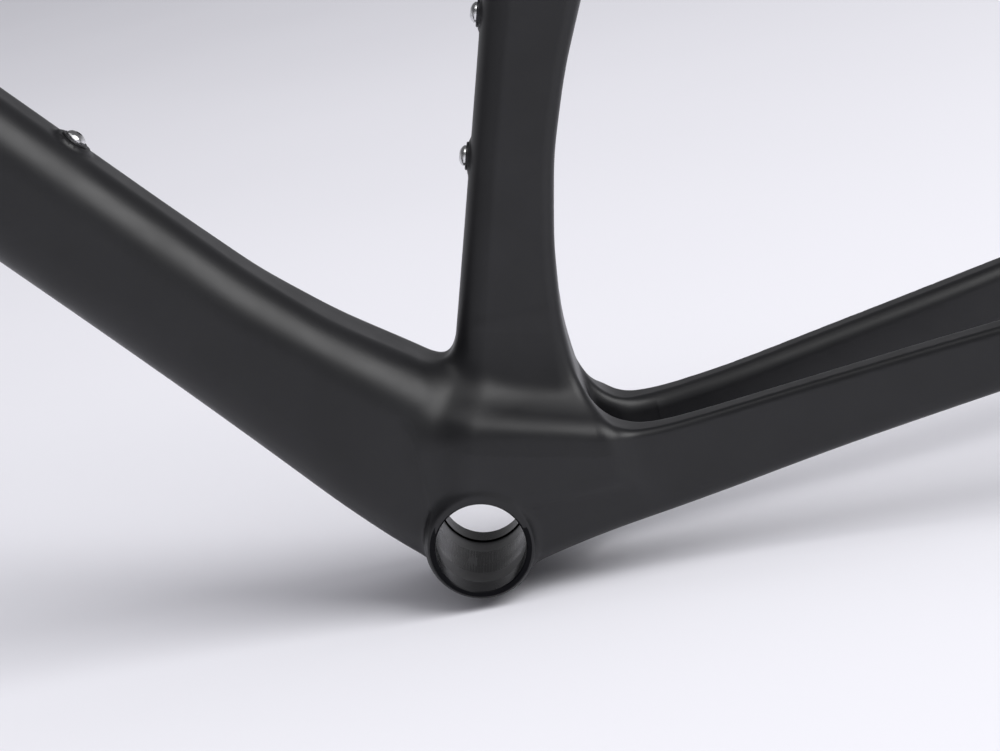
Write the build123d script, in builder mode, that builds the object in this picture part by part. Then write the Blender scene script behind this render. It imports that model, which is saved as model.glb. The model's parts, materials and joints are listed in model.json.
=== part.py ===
"""A carbon road bicycle frame for disc brakes, in millimetres.

Frame: origin at the centre of the bottom bracket shell, +X forwards, +Y to the rider's left, +Z up,
in the riding attitude (the wheel axles are level). A rearward distance is called r, so r = -X.
Every tube is lofted through rounded rectangular sections that stand across its own axis.
"""

import os
from math import atan2, cos, degrees, radians, sin, tan

from build123d import *

os.makedirs("parts", exist_ok=True)

# Driving dimensions ---------------------------------------------------------------------------------

# Press-fit bottom bracket shell
SHELL_LENGTH = 86.5
SHELL_BORE_R = 20.5
SHELL_OUTER_R = 23.2
SHELL_SEAT = 13.0
SHELL_RELIEF_R = 22.0
SHELL_FLOOR_R = 21.2
SHELL_FLOOR_HALF = 15.0
HOUSING_R = 25.0

# Wheel and steering geometry
CHAINSTAY_LENGTH = 410.0
BRACKET_DROP = 70.0
AXLE_R = (CHAINSTAY_LENGTH**2 - BRACKET_DROP**2) ** 0.5
HUB_WIDTH = 142.0
SEAT_ANGLE = 73.5
HEAD_ANGLE = 73.0
DOWN_TUBE_ANGLE = 48.0
STACK = 550.0
REACH = 385.0
HEAD_TUBE_LENGTH = 140.0
SEAT_TUBE_LENGTH = 502.0

# Interfaces
SEATPOST_R = 13.6
UPPER_BEARING_R = 20.95
LOWER_BEARING_R = 26.05
BEARING_SEAT = 7.5
AXLE_SHAFT_R = 6.0
RUNNING_GAP = 0.06
BOTTLE_SPACING = 64.0
FLAT_MOUNT_SPACING = 34.0
DERAILLEUR_THREAD_R = 4.6

# Laid-up wall thicknesses
WALL = 2.2
JUNCTION_WALL = 3.5

# Stations along each tube ---------------------------------------------------------------------------
# Tubes on the mid plane: (distance along the axis, half width, low, high, low corner radius, high one).
# Low and high are measured across the axis: up and back for the down tube, back for the seat tube.

JUNCTION_END = 110.0
DOWN_TUBE_FLARE = [
    (0, 39.5, -24.5, 45.0, 18, 14),
    (30, 38.5, -26.3, 49.0, 20, 15),
    (60, 36.8, -27.2, 50.5, 22, 16),
    (85, 34.3, -27.3, 44.4, 23, 19),
    (JUNCTION_END, 32.0, -27.3, 38.9, 23, 21),
]
DOWN_TUBE = [
    (JUNCTION_END, 32.0, -27.3, 38.9, 23, 21),
    (150, 29.4, -27.3, 34.9, 23, 22),
    (200, 28.2, -27.3, 34.5, 23, 22),
    (300, 28.0, -27.3, 34.7, 23, 22),
    (420, 26.5, -26.8, 33.6, 22, 21),
    (530, 24.5, -26.8, 32.6, 21, 20),
    (620, 23.0, -27.5, 32.5, 20, 20),
]
SEAT_TUBE_FLARE = [
    (35, 30.0, -20.0, 50.0, 10, 6),
    (65, 24.5, -18.8, 38.6, 13, 6),
    (84, 21.5, -18.7, 32.6, 14, 6),
    (JUNCTION_END, 18.6, -18.6, 26.3, 14, 6),
]
HEAD_START = 370.0
SEAT_TUBE = [
    (JUNCTION_END, 18.6, -18.6, 26.3, 14, 6),
    (134, 17.6, -18.6, 22.0, 14, 6),
    (175, 17.0, -18.6, 18.5, 14, 6),
    (213, 17.0, -18.6, 20.2, 14, 6),
    (242, 17.0, -18.7, 24.4, 14, 7),
    (275, 17.0, -18.8, 29.0, 14, 8),
    (310, 17.0, -18.8, 30.5, 14, 9),
    (HEAD_START, 17.0, -18.8, 27.0, 14, 10),
]
SEAT_TUBE_HEAD = [
    (HEAD_START, 17.0, -18.8, 27.0, 14, 10),
    (440, 17.2, -18.8, 21.0, 14, 12),
    (SEAT_TUBE_LENGTH, 17.4, -18.8, 18.8, 14, 14),
]
# Stays: (r, inner face, outer face, low, high, low corner radius, inner high radius, outer high radius).
STAY_JOINT_R = 90.0
STAY_END = 388.0
BLOCK = [
    (-14, 37.5, -20.0, 62.0, 12, 16),
    (5, 39.5, -21.0, 60.0, 12, 9),
    (25, 39.0, -14.8, 52.0, 10, 6),
    (45, 38.0, -9.6, 45.2, 9, 4),
    (62, 37.0, -6.8, 40.4, 8, 3.5),
]
CHAINSTAY_ROOT = [
    (50, 8.0, 37.7, -8.6, 43.6, 8, 4, 3.5),
    (70, 15.5, 36.8, -6.0, 38.0, 8, 6, 3.5),
    (STAY_JOINT_R, 18.0, 36.4, -3.4, 36.2, 8, 7, 3.5),
]
CHAINSTAY = [
    (STAY_JOINT_R, 18.0, 36.4, -3.4, 36.2, 8, 7, 3.5),
    (120, 20.0, 37.4, 1.8, 39.2, 8, 7, 3.5),
    (145, 23.0, 40.4, 7.2, 42.6, 8, 7, 3.5),
    (172, 27.0, 44.8, 13.0, 46.4, 8, 7, 3.5),
    (208, 32.0, 50.2, 19.9, 51.4, 8, 7, 3.5),
    (242, 37.5, 56.4, 26.6, 56.0, 8, 7, 3.5),
    (300, 50.0, 67.5, 37.5, 63.8, 7, 6, 3.5),
    (350, 62.0, 76.0, 46.8, 70.6, 6, 5, 3.5),
    (STAY_END, 71.0, 80.0, 55.0, 78.0, 3.5, 3.5, 3.5),
]
# The top tube: distance from the seat tube's axis, then as the other tubes on the mid plane.
LUG_END = 44.0
TOP_TUBE_LUG = [
    (0, 16.6, -25.0, 19.0, 13, 12),
    (20, 16.8, -24.0, 19.0, 13, 12),
    (LUG_END, 17.0, -22.2, 18.8, 13, 12),
]
TOP_TUBE = [
    (LUG_END, 17.0, -22.2, 18.8, 13, 12),
    (110, 17.6, -18.4, 17.6, 14, 13),
    (250, 19.0, -17.5, 17.5, 14, 13),
    (400, 20.5, -19.5, 19.5, 15, 14),
    (532, 22.0, -23.5, 22.5, 16, 15),
]
# Seatstays in level planes: (height, centre r, centre y, half length along r, half width, radius).
SEATSTAY = [
    (92, 394, 75.5, 9.5, 4.5, 3.5),
    (120, 370, 74.6, 9.0, 5.2, 4.0),
    (160, 334, 68.0, 9.5, 6.0, 4.5),
    (210, 289, 57.0, 10.5, 6.4, 5.0),
    (260, 244, 44.0, 11.0, 6.6, 5.0),
    (315, 195, 29.5, 12.0, 6.8, 5.0),
    (350, 165, 20.8, 13.0, 6.6, 5.0),
]
SEATSTAY_ROOT = [
    (350, 165, 20.8, 13.0, 6.6, 5.0),
    (375, 144.5, 15.4, 13.0, 6.2, 5.0),
    (400, 124, 11.0, 13.0, 5.6, 4.5),
]


# Planes and sections --------------------------------------------------------------------------------


def across(angle, distance, start=(0, 0, 0)):
    """The plane across an axis that leaves `start` at `angle` above +X; local x is the rider's left."""
    direction = Vector(cos(radians(angle)), 0, sin(radians(angle)))
    return Plane(origin=Vector(*start) + direction * distance, x_dir=(0, 1, 0), z_dir=direction)


def across_down_tube(distance):
    return across(DOWN_TUBE_ANGLE, distance)


def across_seat_tube(distance):
    return across(180 - SEAT_ANGLE, distance)


def across_stay(r):
    """The upright plane across the frame at a rearward distance r; local x is left and y is up."""
    return Plane(origin=(-r, 0, 0), x_dir=(0, 1, 0), z_dir=(1, 0, 0))


def side_plane(y):
    """An upright plane along the frame at lateral place y; local x is r, local y is up, and it faces left."""
    return Plane(origin=(0, y, 0), x_dir=(-1, 0, 0), z_dir=(0, 1, 0))


def section(plane, left, right, low, high, radii):
    """A rounded rectangle. The radii run anticlockwise from the corner at (left, low)."""
    corners = [(left, low), (right, low), (right, high), (left, high)]
    with BuildSketch(plane) as profile:
        with Locations(((left + right) / 2, (low + high) / 2)):
            Rectangle(right - left, high - low)
        for corner, radius in zip(corners, radii):
            fillet(profile.vertices().sort_by_distance((*corner, 0))[0], radius)
    return profile.sketch.face()


def mid_tube(plane_at, stations, inset=0.0, mode=Mode.ADD):
    """Lofts a tube that is symmetric about the mid plane, drawn in by `inset` for its hollow."""
    faces = []
    for distance, half, low, high, low_r, high_r in stations:
        radii = [max(radius - inset, 1.2) for radius in (low_r, low_r, high_r, high_r)]
        reach = half - inset
        faces.append(section(plane_at(distance), -reach, reach, low + inset, high - inset, radii))
    loft(faces, mode=mode)


def stay_tube(stations, side, inset=0.0, mode=Mode.ADD):
    """Lofts a chainstay; side is 1 for the left one and -1 for the right one."""
    faces = []
    for r, inner, outer, low, high, low_r, in_r, out_r in stations:
        left, right = sorted((side * (inner + inset), side * (outer - inset)))
        tops = (out_r, in_r) if side > 0 else (in_r, out_r)
        radii = [max(radius - inset, 1.2) for radius in (low_r, low_r, *tops)]
        faces.append(section(across_stay(r), left, right, low + inset, high - inset, radii))
    loft(faces, mode=mode)


def seat_stay(stations, side, inset=0.0, mode=Mode.ADD):
    """Lofts a seatstay through level sections."""
    faces = []
    for height, r, y, length, width, radius in stations:
        middle = Plane(origin=(-r, side * y, height))
        half_length = length - inset
        half_width = width - inset
        radii = [max(radius - inset, 1.2)] * 4
        faces.append(section(middle, -half_length, half_length, -half_width, half_width, radii))
    loft(faces, mode=mode)


def socket_screw(head_r, head_height, shank_r, length, key):
    """A domed socket screw whose head stands on its local XY plane, with the shank below it."""
    dome_start = head_height * 0.3
    with BuildPart() as screw:
        with BuildSketch(Plane.XZ):
            with BuildLine():
                Polyline(
                    (0, head_height),
                    (0, -length),
                    (shank_r, -length),
                    (shank_r, 0),
                    (head_r, 0),
                    (head_r, dome_start),
                )
                ThreePointArc(
                    (head_r, dome_start),
                    (head_r * 0.66, head_height * 0.84),
                    (0, head_height),
                )
            make_face()
        revolve(axis=Axis.Z)
        with BuildSketch(Plane.XY.offset(head_height * 0.3)):
            RegularPolygon(key / 2, 6, major_radius=False)
        extrude(amount=head_height, mode=Mode.SUBTRACT)
    return screw.part


def export(part, name):
    part.label = name
    export_step(part, f"parts/{name}.step")


# Directions and places worked out from the driving dimensions ---------------------------------------

SEAT_AXIS = across_seat_tube(0).z_dir
SEAT_BACK = across_seat_tube(0).y_dir
DOWN_AXIS = across_down_tube(0).z_dir
DOWN_UP = across_down_tube(0).y_dir
HEAD_AXIS = across(180 - HEAD_ANGLE, 0).z_dir
HEAD_TOP = Vector(REACH, 0, STACK)
HEAD_BOTTOM = HEAD_TOP - HEAD_AXIS * HEAD_TUBE_LENGTH
HUB_FACE = HUB_WIDTH / 2
AXLE = (AXLE_R, BRACKET_DROP)


def seat_point(distance, back=0.0):
    return SEAT_AXIS * distance + SEAT_BACK * back


def down_point(distance, up=0.0):
    return DOWN_AXIS * distance + DOWN_UP * up


def seat_side(y=0.0):
    """An upright plane along the seat tube; local x is back, local y is up the tube."""
    return Plane(origin=(0, y, 0), x_dir=SEAT_BACK, z_dir=(0, 1, 0))


TOP_TUBE_START = seat_point(474)
TOP_TUBE_END = HEAD_TOP - HEAD_AXIS * 32
TOP_TUBE_RUN = TOP_TUBE_END - TOP_TUBE_START
TOP_TUBE_ANGLE = degrees(atan2(TOP_TUBE_RUN.Z, TOP_TUBE_RUN.X))


def across_top_tube(distance):
    return across(TOP_TUBE_ANGLE, distance, TOP_TUBE_START)


# Head tube: a tapered barrel with a bearing seat in each end ----------------------------------------

HEAD_FORWARD = Vector(sin(radians(HEAD_ANGLE)), 0, cos(radians(HEAD_ANGLE)))
HEAD_PLANE = Plane(origin=HEAD_BOTTOM, x_dir=HEAD_FORWARD, z_dir=(0, -1, 0))
HEAD_REV = Axis(HEAD_BOTTOM, HEAD_AXIS)
HEAD_UPPER_R = 24.0
HEAD_WAIST_R = 23.4
HEAD_LOWER_R = 29.6

with BuildPart() as head_form:
    with BuildSketch(HEAD_PLANE):
        with BuildLine():
            Polyline((0, HEAD_TUBE_LENGTH), (0, 0), (HEAD_LOWER_R, 0), (HEAD_LOWER_R, 12))
            Spline(
                (HEAD_LOWER_R, 12),
                (25.6, 45),
                (HEAD_WAIST_R, 85),
                (HEAD_UPPER_R, HEAD_TUBE_LENGTH - 8),
                tangents=[(0, 1), (0, 1)],
            )
            Polyline(
                (HEAD_UPPER_R, HEAD_TUBE_LENGTH - 8),
                (HEAD_UPPER_R, HEAD_TUBE_LENGTH),
                (0, HEAD_TUBE_LENGTH),
            )
        make_face()
    revolve(axis=HEAD_REV)

with BuildPart() as head_tube:
    add(head_form.part)
    with BuildSketch(HEAD_PLANE):
        with BuildLine():
            Polyline(
                (0, 0),
                (LOWER_BEARING_R, 0),
                (LOWER_BEARING_R, BEARING_SEAT),
                (22.5, BEARING_SEAT + 2.5),
                (22.5, 30),
                (18.0, 80),
                (18.0, HEAD_TUBE_LENGTH - BEARING_SEAT - 2.5),
                (UPPER_BEARING_R, HEAD_TUBE_LENGTH - BEARING_SEAT),
                (UPPER_BEARING_R, HEAD_TUBE_LENGTH),
                (0, HEAD_TUBE_LENGTH),
                close=True,
            )
        make_face()
    revolve(axis=HEAD_REV, mode=Mode.SUBTRACT)
export(head_tube.part, "head_tube")

# Bottom bracket shell: a moulded sleeve with a press-fit seat in each end ----------------------------

SCREW_GAP = 0.05
GUIDE_SCREW_R = 1.95
GUIDE_TOP = -23.7
GUIDE_LENGTH = 26.0
GUIDE_WIDTH = 24.0
# The guide faces down and a little forward, towards the down tube's cables.
GUIDE_TURN = 24.0
GUIDE_PLACE = Plane.XY.rotated((0, -GUIDE_TURN, 0))

with BuildPart() as shell:
    with BuildSketch(Plane.XY):
        with BuildLine():
            half = SHELL_LENGTH / 2
            Polyline(
                (SHELL_BORE_R + 0.5, half),
                (SHELL_OUTER_R - 0.4, half),
                (SHELL_OUTER_R, half - 0.4),
                (SHELL_OUTER_R, 0.4 - half),
                (SHELL_OUTER_R - 0.4, -half),
                (SHELL_BORE_R + 0.5, -half),
                (SHELL_BORE_R, 0.5 - half),
                (SHELL_BORE_R, SHELL_SEAT - half),
                (SHELL_RELIEF_R, SHELL_SEAT + 1.0 - half),
                (SHELL_RELIEF_R, -SHELL_FLOOR_HALF - 1),
                (SHELL_FLOOR_R, -SHELL_FLOOR_HALF),
                (SHELL_FLOOR_R, SHELL_FLOOR_HALF),
                (SHELL_RELIEF_R, SHELL_FLOOR_HALF + 1),
                (SHELL_RELIEF_R, half - SHELL_SEAT - 1.0),
                (SHELL_BORE_R, half - SHELL_SEAT),
                (SHELL_BORE_R, half - 0.5),
                close=True,
            )
        make_face()
    revolve(axis=Axis.Y)
    # The cable guide's screw comes up through the floor of the shell.
    with Locations(GUIDE_PLACE.offset(-SHELL_OUTER_R)):
        Cylinder(GUIDE_SCREW_R + SCREW_GAP, 10, mode=Mode.SUBTRACT)
export(shell.part, "bottom_bracket_shell")

with BuildPart() as shell_space:
    with BuildSketch(side_plane(-SHELL_LENGTH / 2)):
        Circle(SHELL_OUTER_R)
    extrude(amount=SHELL_LENGTH)

# Bottom bracket junction: the moulded block that holds the shell and takes the tubes -----------------

JUNCTION_HALF = 40.5
WHEEL_SPACE_R = 345.0
WHEEL_SPACE_HALF = 16.0


def junction_block(inset=0.0, mode=Mode.ADD):
    """The broad block behind and above the shell."""
    faces = []
    for r, half, low, high, low_r, high_r in BLOCK:
        radii = [max(radius - inset, 1.2) for radius in (low_r, low_r, high_r, high_r)]
        faces.append(section(across_stay(r), inset - half, half - inset, low + inset, high - inset, radii))
    loft(faces, mode=mode)


with BuildPart() as junction_hollow:
    mid_tube(across_down_tube, DOWN_TUBE_FLARE[1:], JUNCTION_WALL)
    mid_tube(across_seat_tube, SEAT_TUBE_FLARE[1:], JUNCTION_WALL)
    for side in (1, -1):
        stay_tube(CHAINSTAY_ROOT[1:], side, WALL)
    with BuildSketch(side_plane(-SHELL_LENGTH / 2)):
        Circle(HOUSING_R + 1.5)
    extrude(amount=SHELL_LENGTH, mode=Mode.SUBTRACT)

with BuildPart() as junction:
    mid_tube(across_down_tube, DOWN_TUBE_FLARE)
    junction_block()
    mid_tube(across_seat_tube, SEAT_TUBE_FLARE)
    for side in (1, -1):
        stay_tube(CHAINSTAY_ROOT, side)
    with BuildSketch(side_plane(-JUNCTION_HALF)):
        Circle(HOUSING_R)
    extrude(amount=2 * JUNCTION_HALF)
    with BuildSketch(side_plane(-WHEEL_SPACE_HALF)):
        with Locations(AXLE):
            Circle(WHEEL_SPACE_R)
    extrude(amount=2 * WHEEL_SPACE_HALF, mode=Mode.SUBTRACT)
    add(junction_hollow.part, mode=Mode.SUBTRACT)
    add(shell_space.part, mode=Mode.SUBTRACT)
    # A flat under the shell seats the cable guide, and its screw passes through.
    with Locations(GUIDE_PLACE.offset(GUIDE_TOP)):
        Box(
            GUIDE_LENGTH + 0.4,
            GUIDE_WIDTH + 0.4,
            20,
            align=(Align.CENTER, Align.CENTER, Align.MAX),
            mode=Mode.SUBTRACT,
        )
        Cylinder(GUIDE_SCREW_R + SCREW_GAP, 10, mode=Mode.SUBTRACT)
export(junction.part, "bottom_bracket_junction")

# Bottle bosses: threaded inserts with a flange outside the tube, and the screws that fill them --------

BOSS_THREAD_R = 2.5
BOSS_BARREL_R = 3.9
BOSS_FLANGE_R = 6.4
BOSS_FLANGE = 1.2
BOSS_DEPTH = 11.0
DOWN_BOSS_UP = 36.0
SEAT_BOSS_BACK = -19.2
DOWN_BOSSES = [
    Plane(origin=down_point(distance, DOWN_BOSS_UP), x_dir=(0, 1, 0), z_dir=DOWN_UP)
    for distance in (251, 251 + BOTTLE_SPACING)
]
SEAT_BOSSES = [
    Plane(origin=seat_point(distance, SEAT_BOSS_BACK), x_dir=(0, 1, 0), z_dir=-SEAT_BACK)
    for distance in (169, 169 + BOTTLE_SPACING)
]


def bottle_boss():
    """One insert: the flange's underside is on the local XY plane and the barrel goes below it."""
    with BuildPart() as boss:
        Cylinder(BOSS_FLANGE_R, BOSS_FLANGE, align=(Align.CENTER, Align.CENTER, Align.MIN))
        chamfer(boss.edges().sort_by(Axis.Z)[-1], 0.4)
        Cylinder(BOSS_BARREL_R, BOSS_DEPTH, align=(Align.CENTER, Align.CENTER, Align.MAX))
        Hole(BOSS_THREAD_R)
    return boss.part


def bottle_screw():
    """One screw, with its head standing on the insert's flange."""
    return socket_screw(4.75, 2.8, BOSS_THREAD_R - SCREW_GAP, 10, 3.0).moved(Location((0, 0, BOSS_FLANGE)))


def bottle_parts(places, prefix):
    with BuildPart() as bosses:
        with Locations(*places):
            add(bottle_boss())
    export(bosses.part, f"{prefix}_bottle_bosses")
    with BuildPart() as screws:
        with Locations(*places):
            add(bottle_screw())
    export(screws.part, f"{prefix}_bottle_screws")


bottle_parts(DOWN_BOSSES, "down_tube")
bottle_parts(SEAT_BOSSES, "seat_tube")

# Down tube, with the cable port near its upper end ----------------------------------------------------

BOSS_PAD_R = 9.0
PORT_AT = 548.0
PORT_LENGTH = 44.0
PORT_WIDTH = 13.0
PORT_LIP = 1.2
PORT_SCREW_R = 1.5
PORT_FACE = 24.3


def port_plane(y):
    """Faces left on the down tube's left side; local x runs up along the tube."""
    return Plane(origin=down_point(PORT_AT, 3.0) + Vector(0, y, 0), x_dir=DOWN_AXIS, z_dir=(0, 1, 0))


def port_screw_places():
    return GridLocations(PORT_LENGTH - 9, 0, 2, 1)


with BuildPart() as down_tube:
    mid_tube(across_down_tube, DOWN_TUBE)
    with Locations(*DOWN_BOSSES):
        Cone(BOSS_PAD_R + 4, BOSS_PAD_R, 6, align=(Align.CENTER, Align.CENTER, Align.MAX))
    mid_tube(across_down_tube, DOWN_TUBE, WALL, Mode.SUBTRACT)
    with Locations(*DOWN_BOSSES):
        Cylinder(BOSS_BARREL_R, 20, mode=Mode.SUBTRACT)
    # A rebated slot takes the cable port cover.
    with BuildSketch(port_plane(PORT_FACE - PORT_LIP)):
        SlotOverall(PORT_LENGTH, PORT_WIDTH)
    extrude(amount=10, mode=Mode.SUBTRACT)
    with BuildSketch(port_plane(PORT_FACE - 6)):
        SlotOverall(PORT_LENGTH - 20, PORT_WIDTH - 4)
        with port_screw_places():
            Circle(PORT_SCREW_R + SCREW_GAP)
    extrude(amount=10, mode=Mode.SUBTRACT)
    add(head_form.part, mode=Mode.SUBTRACT)
    # Nothing of the tube hangs below the head tube's rim, in the way of the fork crown.
    with BuildSketch(Plane(origin=HEAD_BOTTOM, z_dir=-HEAD_AXIS)):
        Circle(HEAD_LOWER_R)
    extrude(amount=60, mode=Mode.SUBTRACT)
export(down_tube.part, "down_tube")

with BuildPart() as port_cover:
    with BuildSketch(port_plane(PORT_FACE - PORT_LIP)):
        SlotOverall(PORT_LENGTH - 0.2, PORT_WIDTH - 0.2)
    extrude(amount=PORT_LIP + 0.4)
    fillet(port_cover.faces().sort_by(Axis.Y)[-1].edges(), 0.35)
    # A hooded mouth lets each cable out towards the head tube.
    with BuildSketch(port_plane(PORT_FACE)):
        SlotOverall(21, 8.4)
    extrude(amount=2.6)
    fillet(port_cover.faces().sort_by(Axis.Y)[-1].edges(), 1.4)
    for offset in (-2, 2):
        mouth = down_point(PORT_AT + 5, 3.0 + offset) + Vector(0, PORT_FACE + 0.4, 0)
        with BuildSketch(Plane(origin=mouth, x_dir=(0, 1, 0), z_dir=DOWN_AXIS)):
            Circle(1.3)
        extrude(amount=8, mode=Mode.SUBTRACT)
    with BuildSketch(port_plane(PORT_FACE - 2 * PORT_LIP)):
        with port_screw_places():
            Circle(PORT_SCREW_R + SCREW_GAP)
    extrude(amount=8, mode=Mode.SUBTRACT)
export(port_cover.part, "cable_port_cover")

with BuildPart() as port_screws:
    with Locations(port_plane(PORT_FACE + 0.4)):
        with port_screw_places():
            add(socket_screw(2.6, 1.5, PORT_SCREW_R, 5.5, 1.5))
export(port_screws.part, "cable_port_screws")

# Head of the seat tube: the lug, the seatpost bore and the wedge clamp in front of it ------------------
# The bolt lifts the wedge, and the wedge's sloping back drives the shoe against the seatpost.

SLIDE_GAP = 0.05
POCKET_FLOOR = 453.0
POCKET_FRONT = -31.0
POCKET_HALF = 8.0
WEDGE_ANGLE = 10.0
WEDGE_BASE = 455.0
WEDGE_HEIGHT = 11.0
BRIDGE_BASE = 472.0
BRIDGE_HEIGHT = 8.0
CLAMP_BOLT_R = 2.5
CLAMP_BOLT_BACK = -26.3
SLOPE_BACK = -20.6
CLAMP_HEAD_R = 4.2
CLAMP_HEAD = 4.0
MECH_SCREWS = (140.0, 160.0)
MECH_SCREW_BACK = 1.0
MECH_SCREW_R = 1.6


def slope_back(height, gap=0.0):
    """How far back the wedge's sloping face is at a height up the seat tube."""
    return SLOPE_BACK - (height - WEDGE_BASE) * tan(radians(WEDGE_ANGLE)) + gap


with BuildPart() as seat_head:
    mid_tube(across_seat_tube, SEAT_TUBE_HEAD)
    with BuildSketch(across_seat_tube(HEAD_START)):
        Circle(SEATPOST_R)
    extrude(amount=SEAT_TUBE_LENGTH, mode=Mode.SUBTRACT)

with BuildPart() as seat_roots:
    mid_tube(across_top_tube, TOP_TUBE_LUG)
    for side in (1, -1):
        seat_stay(SEATSTAY_ROOT, side)
    with BuildSketch(across_seat_tube(HEAD_START)):
        Circle(SEATPOST_R)
    extrude(amount=SEAT_TUBE_LENGTH, mode=Mode.SUBTRACT)

with BuildPart() as seat_tube:
    mid_tube(across_seat_tube, SEAT_TUBE)
    with Locations(*SEAT_BOSSES):
        Cone(BOSS_PAD_R, BOSS_PAD_R - 1.5, 5, align=(Align.CENTER, Align.CENTER, Align.MAX))
    mid_tube(across_seat_tube, SEAT_TUBE, WALL, Mode.SUBTRACT)
    with Locations(*SEAT_BOSSES):
        Cylinder(BOSS_BARREL_R, 20, mode=Mode.SUBTRACT)
    with BuildSketch(seat_side(-25)):
        with Locations(*[(MECH_SCREW_BACK, height) for height in MECH_SCREWS]):
            Circle(MECH_SCREW_R + SCREW_GAP)
    extrude(amount=20, mode=Mode.SUBTRACT)
    add(seat_head.part)
    add(seat_roots.part)
    with BuildSketch(across_seat_tube(POCKET_FLOOR)):
        with Locations((0, POCKET_FRONT / 2)):
            Rectangle(2 * POCKET_HALF, -POCKET_FRONT)
    extrude(amount=60, mode=Mode.SUBTRACT)
export(seat_tube.part, "seat_tube")

with BuildPart() as clamp_shoe:
    with BuildSketch(seat_side(-POCKET_HALF + SLIDE_GAP)):
        with BuildLine():
            low = POCKET_FLOOR + SLIDE_GAP
            high = BRIDGE_BASE - SLIDE_GAP
            Polyline(
                (slope_back(low, SLIDE_GAP), low),
                (0, low),
                (0, high),
                (slope_back(high, SLIDE_GAP), high),
                close=True,
            )
        make_face()
    extrude(amount=2 * (POCKET_HALF - SLIDE_GAP))
    with BuildSketch(across_seat_tube(POCKET_FLOOR - 5)):
        Circle(SEATPOST_R)
    extrude(amount=50, mode=Mode.SUBTRACT)
export(clamp_shoe.part, "seat_clamp_shoe")

with BuildPart() as clamp_wedge:
    with BuildSketch(seat_side(-POCKET_HALF + SLIDE_GAP)):
        with BuildLine():
            top = WEDGE_BASE + WEDGE_HEIGHT
            Polyline(
                (POCKET_FRONT + SLIDE_GAP, WEDGE_BASE),
                (slope_back(WEDGE_BASE), WEDGE_BASE),
                (slope_back(top), top),
                (POCKET_FRONT + SLIDE_GAP, top),
                close=True,
            )
        make_face()
    extrude(amount=2 * (POCKET_HALF - SLIDE_GAP))
    with BuildSketch(across_seat_tube(WEDGE_BASE - 1)):
        with Locations((0, CLAMP_BOLT_BACK)):
            Circle(CLAMP_BOLT_R)
    extrude(amount=WEDGE_HEIGHT + 2, mode=Mode.SUBTRACT)
export(clamp_wedge.part, "seat_clamp_wedge")

with BuildPart() as clamp_bridge:
    with BuildSketch(across_seat_tube(BRIDGE_BASE)):
        with Locations((0, (POCKET_FRONT - SEATPOST_R - 1.2) / 2)):
            Rectangle(2 * POCKET_HALF, -POCKET_FRONT - SEATPOST_R - 1.2)
    extrude(amount=BRIDGE_HEIGHT)
    with BuildSketch(across_seat_tube(BRIDGE_BASE)):
        with Locations((0, CLAMP_BOLT_BACK)):
            Circle(CLAMP_BOLT_R + SLIDE_GAP)
    extrude(amount=BRIDGE_HEIGHT, mode=Mode.SUBTRACT)
    with BuildSketch(across_seat_tube(BRIDGE_BASE + BRIDGE_HEIGHT - CLAMP_HEAD - 0.5)):
        with Locations((0, CLAMP_BOLT_BACK)):
            Circle(CLAMP_HEAD_R + SLIDE_GAP)
    extrude(amount=CLAMP_HEAD + 1, mode=Mode.SUBTRACT)
export(clamp_bridge.part, "seat_clamp_bridge")

with BuildPart() as clamp_bolt:
    head_seat = BRIDGE_BASE + BRIDGE_HEIGHT - CLAMP_HEAD - 0.5
    with BuildSketch(across_seat_tube(head_seat)):
        with Locations((0, CLAMP_BOLT_BACK)):
            Circle(CLAMP_HEAD_R)
    extrude(amount=CLAMP_HEAD)
    with BuildSketch(across_seat_tube(head_seat)):
        with Locations((0, CLAMP_BOLT_BACK)):
            Circle(CLAMP_BOLT_R - SLIDE_GAP)
    extrude(amount=POCKET_FLOOR + 0.6 - head_seat)
    with BuildSketch(across_seat_tube(head_seat + CLAMP_HEAD)):
        with Locations((0, CLAMP_BOLT_BACK)):
            RegularPolygon(2.0, 6, major_radius=False)
    extrude(amount=-2.6, mode=Mode.SUBTRACT)
export(clamp_bolt.part, "seat_clamp_bolt")

with BuildPart() as clamp_cover:
    with BuildSketch(across_seat_tube(BRIDGE_BASE + BRIDGE_HEIGHT)):
        with Locations((0, (POCKET_FRONT - SEATPOST_R - 1.2) / 2)):
            Rectangle(2 * POCKET_HALF - 0.3, -POCKET_FRONT - SEATPOST_R - 1.5)
    extrude(amount=20)
    # Its upper face carries on the slope of the top tube.
    above_tube = Plane(across_top_tube(0).location * Location((0, TOP_TUBE_LUG[0][3] + 0.6, 0)))
    split(bisect_by=Plane(origin=above_tube.origin, x_dir=(0, 1, 0), z_dir=-above_tube.y_dir))
export(clamp_cover.part, "seat_clamp_cover")

# Top tube ---------------------------------------------------------------------------------------------

with BuildPart() as top_tube:
    mid_tube(across_top_tube, TOP_TUBE)
    mid_tube(across_top_tube, TOP_TUBE, WALL, Mode.SUBTRACT)
    add(head_form.part, mode=Mode.SUBTRACT)
export(top_tube.part, "top_tube")

# Seatstays --------------------------------------------------------------------------------------------

STAY_WALL = 1.5

for side, name in ((1, "left"), (-1, "right")):
    with BuildPart() as seatstay:
        seat_stay(SEATSTAY, side)
        seat_stay(SEATSTAY[1:], side, STAY_WALL, Mode.SUBTRACT)
    export(seatstay.part, f"{name}_seatstay")

# Chainstays: the left one carries the flat mount of the rear brake -------------------------------------

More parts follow.
